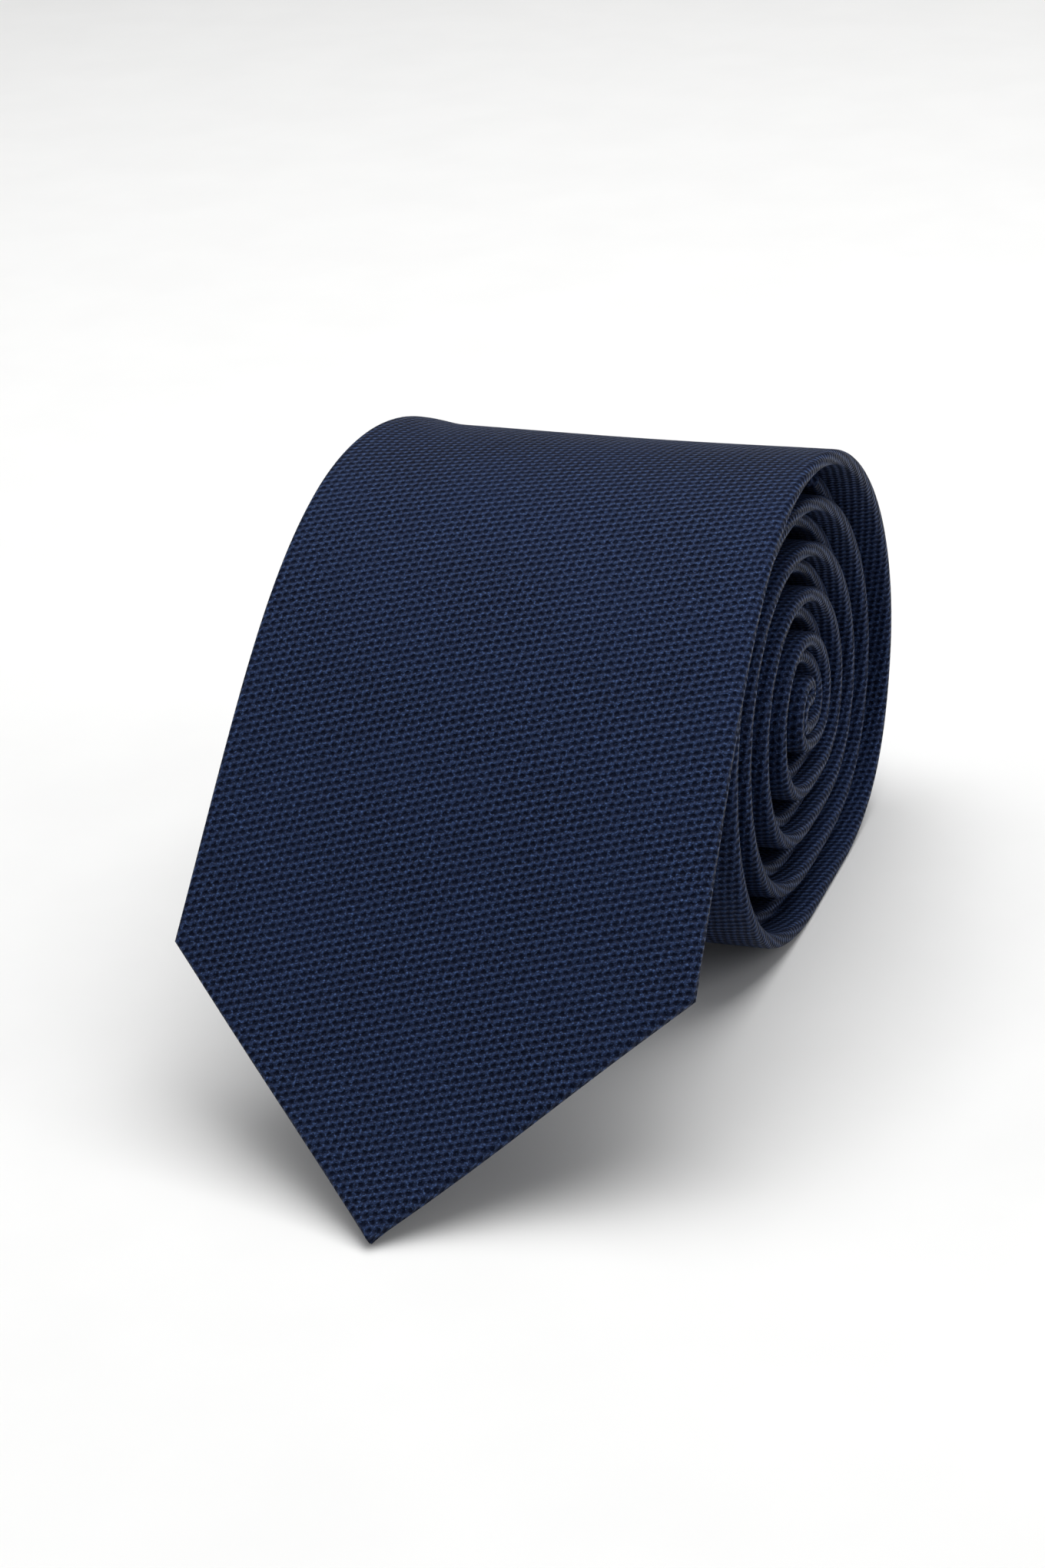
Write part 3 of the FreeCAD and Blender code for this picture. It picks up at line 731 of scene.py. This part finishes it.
laid("tail_tipping_whole", TOTAL - TAIL_TIPPING, TOTAL - TIPPING_START, SATIN,
     ["tail_tipping"], on_roll, "tail_cloth", 3.0)


# ---------------------------------------------------------------- sewing
SLIP_LEVEL, SLIP_RISE, SLIP_SWING, SLIP_STRAY, SLIP_PITCH = -0.90, 0.08, 0.22, 0.12, 7.0
SLIP_RADIUS, TACK_RADIUS, HEM_RADIUS, SEAM_RADIUS, BOX_RADIUS, SLACK_RADIUS = (
    0.15, 0.13, 0.12, 0.09, 0.07, 0.14)


def slip_stitches(name, s0, s1, nodes, moves, per_stitch=8):
    """The running thread that closes the back: it dips and swings once in each stitch."""
    s = np.linspace(s0, s1, int((s1 - s0) / SLIP_PITCH * per_stitch))
    turn = 2 * math.pi * (s - s0) / SLIP_PITCH
    stray = SLIP_STRAY * noise_1d(s, 2 * SLIP_PITCH, 5)
    path = np.column_stack([s, SLIP_SWING * np.sin(turn) + stray,
                            SLIP_LEVEL + SLIP_RISE * np.cos(turn)])
    return piece(thread(name, [path], SLIP_RADIUS, 5), "thread", nodes, moves)


slip_stitches("slip_stitch_thread_crest", FIRST_HINGE + 1.0, ROLL_SPLIT, [], bends_at_crest)
slip_stitches("slip_stitch_thread_rolled", ROLL_SPLIT, TAIL_OPENING - 2.0,
              ["slip_stitch_thread"], on_roll)


TACK_ROWS, TACK_TURNS, TACK_MARGIN = (-0.45, 0.0, 0.45), 13, 0.35


def bar_tack(name, s_at, wide, long, nodes, moves):
    """Threads laid across the slit, wrapped by close overcast stitches."""
    paths = []
    x = np.linspace(-wide / 2, wide / 2, 9)
    level = -HALF - 0.10 + 0.18 * (np.abs(x) / (wide / 2)) ** 6      # the ends sink into the cloth
    for row in TACK_ROWS:
        paths.append(np.column_stack([s_at + row + 0 * x, x, level]))
    a = np.linspace(0.0, math.pi, 8)
    for i in range(TACK_TURNS):
        across = -wide / 2 + TACK_MARGIN + (wide - 2 * TACK_MARGIN) * i / (TACK_TURNS - 1)
        paths.append(np.column_stack([s_at - long / 2 * np.cos(a), across + 0.10 * np.cos(a),
                                      -HALF + 0.10 - 0.34 * np.sin(a)]))
    return piece(thread(name, paths, TACK_RADIUS, 5), "thread", nodes, moves)


bar_tack("blade_bar_tack_thread", OPENING_END, 6.0, 1.8, ["blade_bar_tack"], bends_at_crest)
bar_tack("tail_bar_tack_thread", TAIL_OPENING, 5.0, 1.6, ["tail_bar_tack"], on_roll)


HEM_STITCH, HEM_WOBBLE, HEM_START, HEM_CROSSING, HEM_BOW = 1.5, 0.25, 0.75, 1.15, 0.16


def hem_stitches(name, s0, s1, pitch, nodes, moves):
    """Slanting hand stitches that hold the tipping to the turned hem."""
    paths = []
    a = np.linspace(0.0, 1.0, 7)
    low = TIPPING_BOTTOM - 0.05
    climb = (-HALF + 0.02 - low) * smooth((a - 0.35) / 0.4)
    for side in (-1, 1):
        for index in range(math.ceil((s1 - s0) / pitch)):
            wobble = HEM_WOBBLE * math.sin(7.3 * index + side)
            along = s0 + index * pitch + wobble + HEM_STITCH * a
            across = side * (opening(along) - HEM_START + HEM_CROSSING * a)
            paths.append(np.column_stack([along, across,
                                          low + climb - HEM_BOW * np.sin(math.pi * a)]))
    return piece(thread(name, paths, HEM_RADIUS, 5), "thread", nodes, moves)


hem_stitches("blade_hem_hand_stitches", HEM + 3.0, CREST_SPLIT - 3.0, 3.2,
             ["blade_hem_stitches"], bends_at_middle)
hem_stitches("tail_hem_hand_stitches", TAIL_OPENING + 24.0, TAIL_SHOULDER + 7.0, 3.0,
             ["tail_hem_stitches"], on_roll)


SEAM_STITCH, SEAM_PITCH = 1.6, 2.1


def seam_stitches(name, seam, low, high, margin, node):
    """A machine seam: short stitches across the width, inside the turned seam."""
    half = float(half_width(np.array([seam]))[0]) - margin
    a = np.linspace(0.0, 1.0, 5)
    level = (low + high) / 2 + 0.06 * np.sin(math.pi * a)
    paths = [np.column_stack([seam - 0.15 + 0 * a, x + SEAM_STITCH * a, level])
             for x in np.arange(-half, half - SEAM_STITCH, SEAM_PITCH)]
    return piece(thread(name, paths, SEAM_RADIUS, 4), "thread", [node], on_roll)


seam_stitches("blade_neck_seam_stitches", BLADE_SEAM, HALF - CLOTH, HALF, 1.4,
              "blade_neck_seam_thread")
seam_stitches("neck_tail_seam_stitches", NECK_SEAM, HALF - CLOTH, HALF, 1.4,
              "neck_tail_seam_thread")
seam_stitches("interlining_join_thread", NECK_AT, LINING_BOTTOM, LINING_TOP, 2.6,
              "interlining_join_stitches")

# the spare length of slip-stitch thread, left as a loop inside the small end
SLACK_AT, SLACK_REACH, SLACK_HALF, SLACK_BEND = TAIL_OPENING + 8.0, 10.5, 1.1, 1.3
SLACK_LEVEL, SLACK_END_LEVEL = -0.98, -0.90
bend = np.linspace(-math.pi / 2, math.pi / 2, 9)[1:-1]
out = np.linspace(SLACK_AT, SLACK_AT + SLACK_REACH, 8)
sink = np.linspace(SLACK_END_LEVEL, SLACK_LEVEL, 8)
loop = np.vstack([np.column_stack([out, np.full(8, -SLACK_HALF), sink]),
                  np.column_stack([SLACK_AT + SLACK_REACH + SLACK_BEND * np.cos(bend),
                                   SLACK_HALF * np.sin(bend), SLACK_LEVEL + 0 * bend]),
                  np.column_stack([out, np.full(8, SLACK_HALF), sink])[::-1]])
piece(thread("slack_thread", [loop], SLACK_RADIUS), "thread", ["slack_thread_loop"], on_roll)


# ---------------------------------------------------------------- what is sewn on the back
KEEPER_AT, KEEPER_SPAN, KEEPER_WIDTH = 200.0, 46.0, 12.0
KEEPER_FOOT, KEEPER_RISE, KEEPER_CLOTH, SEWN_GAP = 6.0, 0.15, 0.5, 0.03
LABEL_AT, LABEL_WIDE, LABEL_LONG = 175.0, 36.0, 26.0
CARE_AT, CARE_WIDE, CARE_LONG = 219.0, 18.0, 14.0
LABEL_LOW = 0.29                        # how far a label's face stands off the back


def keeper(name):
    """The self-cloth loop: a folded band that stands off the back between its two feet."""
    rows, half = 13, KEEPER_SPAN / 2
    s = np.linspace(KEEPER_AT - KEEPER_WIDTH / 2, KEEPER_AT + KEEPER_WIDTH / 2, rows)
    x = np.linspace(-1, 1, 41) * half
    stand = KEEPER_RISE * smooth((half - KEEPER_FOOT - np.abs(x)) / 3.0)
    round_edge = 1.0 - 0.30 * np.abs(np.linspace(-1, 1, rows)) ** 6
    upper = -HALF - SEWN_GAP - stand
    lower = upper[None, :] - KEEPER_CLOTH * round_edge[:, None]
    ring_x = np.hstack([np.tile(x, (rows, 1)), np.tile(x[::-1], (rows, 1))])
    ring_n = np.hstack([np.tile(upper, (rows, 1)), lower[:, ::-1]])
    u = np.hstack([ring_x, ring_x[:, :1]])
    middle = float(middle_x(np.array([KEEPER_AT]))[0])
    return swept(name, s, ring_x + middle, ring_n, u)


band = piece(keeper("keeper_loop_band"), "tie_cloth", ["keeper_loop"], on_roll)
cut(band, KEEPER_SPAN, 0.0, KEEPER_WIDTH, "laid", "blade_cloth_rolled")


BOX_STITCH, BOX_PITCH, BOX_END = 1.2, 1.7, 1.0


def box_stitches(name, s_at, wide, long, n, node, spots=(0.0,)):
    """Short machine stitches along two sides of a sewn-on piece, at each spot across it."""
    a = np.linspace(0.0, 1.0, 5)
    paths = [np.column_stack([s_at + row * long / 2 + 0 * a, spot + x + BOX_STITCH * a,
                              n - 0.05 * np.sin(math.pi * a)])
             for spot in spots for row in (-1, 1)
             for x in np.arange(-wide / 2, wide / 2 - BOX_END, BOX_PITCH)]
    return piece(thread(name, paths, BOX_RADIUS, 4), "thread", [node], on_roll)


FOOT_AT = KEEPER_SPAN / 2 - KEEPER_FOOT / 2
box_stitches("keeper_loop_thread", KEEPER_AT, 3.4, KEEPER_WIDTH - 3.0,
             -HALF - SEWN_GAP - KEEPER_CLOTH, "keeper_loop_stitches", (-FOOT_AT, FOOT_AT))
for label_name, middle, wide, long in (("woven_label", LABEL_AT, LABEL_WIDE, LABEL_LONG),
                                       ("care_label", CARE_AT, CARE_WIDE, CARE_LONG)):
    obj = piece(strip(label_name + "_satin", middle - long / 2, middle + long / 2, wide / 2,
                      -HALF - LABEL_LOW, -HALF - SEWN_GAP), "label_satin", [label_name], on_roll)
    cut(obj, wide, 0.0, long, "laid", "blade_cloth_rolled")
    box_stitches(label_name + "_thread", middle, wide - 2.0, long - 2.4, -HALF - LABEL_LOW,
                 label_name + "_stitches")


# ---------------------------------------------------------------- floor, light, camera
def floor_material():
    m = Nodes("floor")
    grain = m.noise(m.place(), 40.0, 3.0)
    base = m.colour(m.ramp(grain, 0.2, 0.8), (0.86, 0.86, 0.855), (0.88, 0.88, 0.875))
    return m.finish(base, 0.75, m.bump(grain, 0.00005), Specular_IOR_Level=0.25)


FLOOR_HALF = 4.0                        # metres
floor = mesh_object("floor", [(x * FLOOR_HALF, y * FLOOR_HALF, 0.0)
                              for x, y in ((-1, -1), (1, -1), (1, 1), (-1, 1))], [[0, 1, 2, 3]])
floor.data.materials.append(floor_material())


def softbox(name, at_point, target, size, power):
    """A rectangular area light that faces the target; metres and watts."""
    light = bpy.data.lights.new(name, "AREA")
    light.shape = "RECTANGLE"
    light.size, light.size_y = size
    light.energy = power
    obj = bpy.data.objects.new(name, light)
    obj.location = at_point
    obj.rotation_euler = (Vector(target) - Vector(at_point)).to_track_quat("-Z", "Y").to_euler()
    bpy.context.scene.collection.objects.link(obj)


WORLD_STRENGTH = 0.30
softbox("top_softbox", (0.05, 0.18, 1.05), (0.0, 0.0, 0.03), (1.1, 0.9), 12.0)
softbox("left_softbox", (-1.1, -0.1, 0.55), (0.0, 0.0, 0.04), (0.7, 0.7), 1.2)
softbox("right_softbox", (1.2, 0.1, 0.6), (0.0, 0.0, 0.04), (0.7, 0.7), 2.2)
world = bpy.data.worlds.new("studio")
world.use_nodes = True
background = world.node_tree.nodes["Background"]
background.inputs["Color"].default_value = (1.0, 1.0, 1.0, 1.0)
background.inputs["Strength"].default_value = WORLD_STRENGTH
bpy.context.scene.world = world
bpy.context.scene.view_settings.view_transform = "Standard"
bpy.context.scene.view_settings.look = "None"

CAMERA_AT, LENS, SENSOR = Vector((157.9, -403.0, 246.1)) * MM, 75.42, 36.0
TURN, PITCH, ROLL = math.radians(21.75), math.radians(26.3), math.radians(4.47)
forward = Vector((-math.sin(TURN) * math.cos(PITCH), math.cos(TURN) * math.cos(PITCH),
                  -math.sin(PITCH)))
level = Vector((math.cos(TURN), math.sin(TURN), 0.0))
above = level.cross(forward)
camera_x = level * math.cos(ROLL) - above * math.sin(ROLL)
camera_y = level * math.sin(ROLL) + above * math.cos(ROLL)
camera_data = bpy.data.cameras.new("camera")
camera_data.sensor_width = SENSOR
camera_data.lens = LENS
camera_data.clip_start, camera_data.clip_end = 0.01, 20.0
camera = bpy.data.objects.new("camera", camera_data)
camera.matrix_world = Matrix((camera_x, camera_y, -forward)).transposed().to_4x4()
camera.location = CAMERA_AT
bpy.context.scene.collection.objects.link(camera)
bpy.context.scene.camera = camera
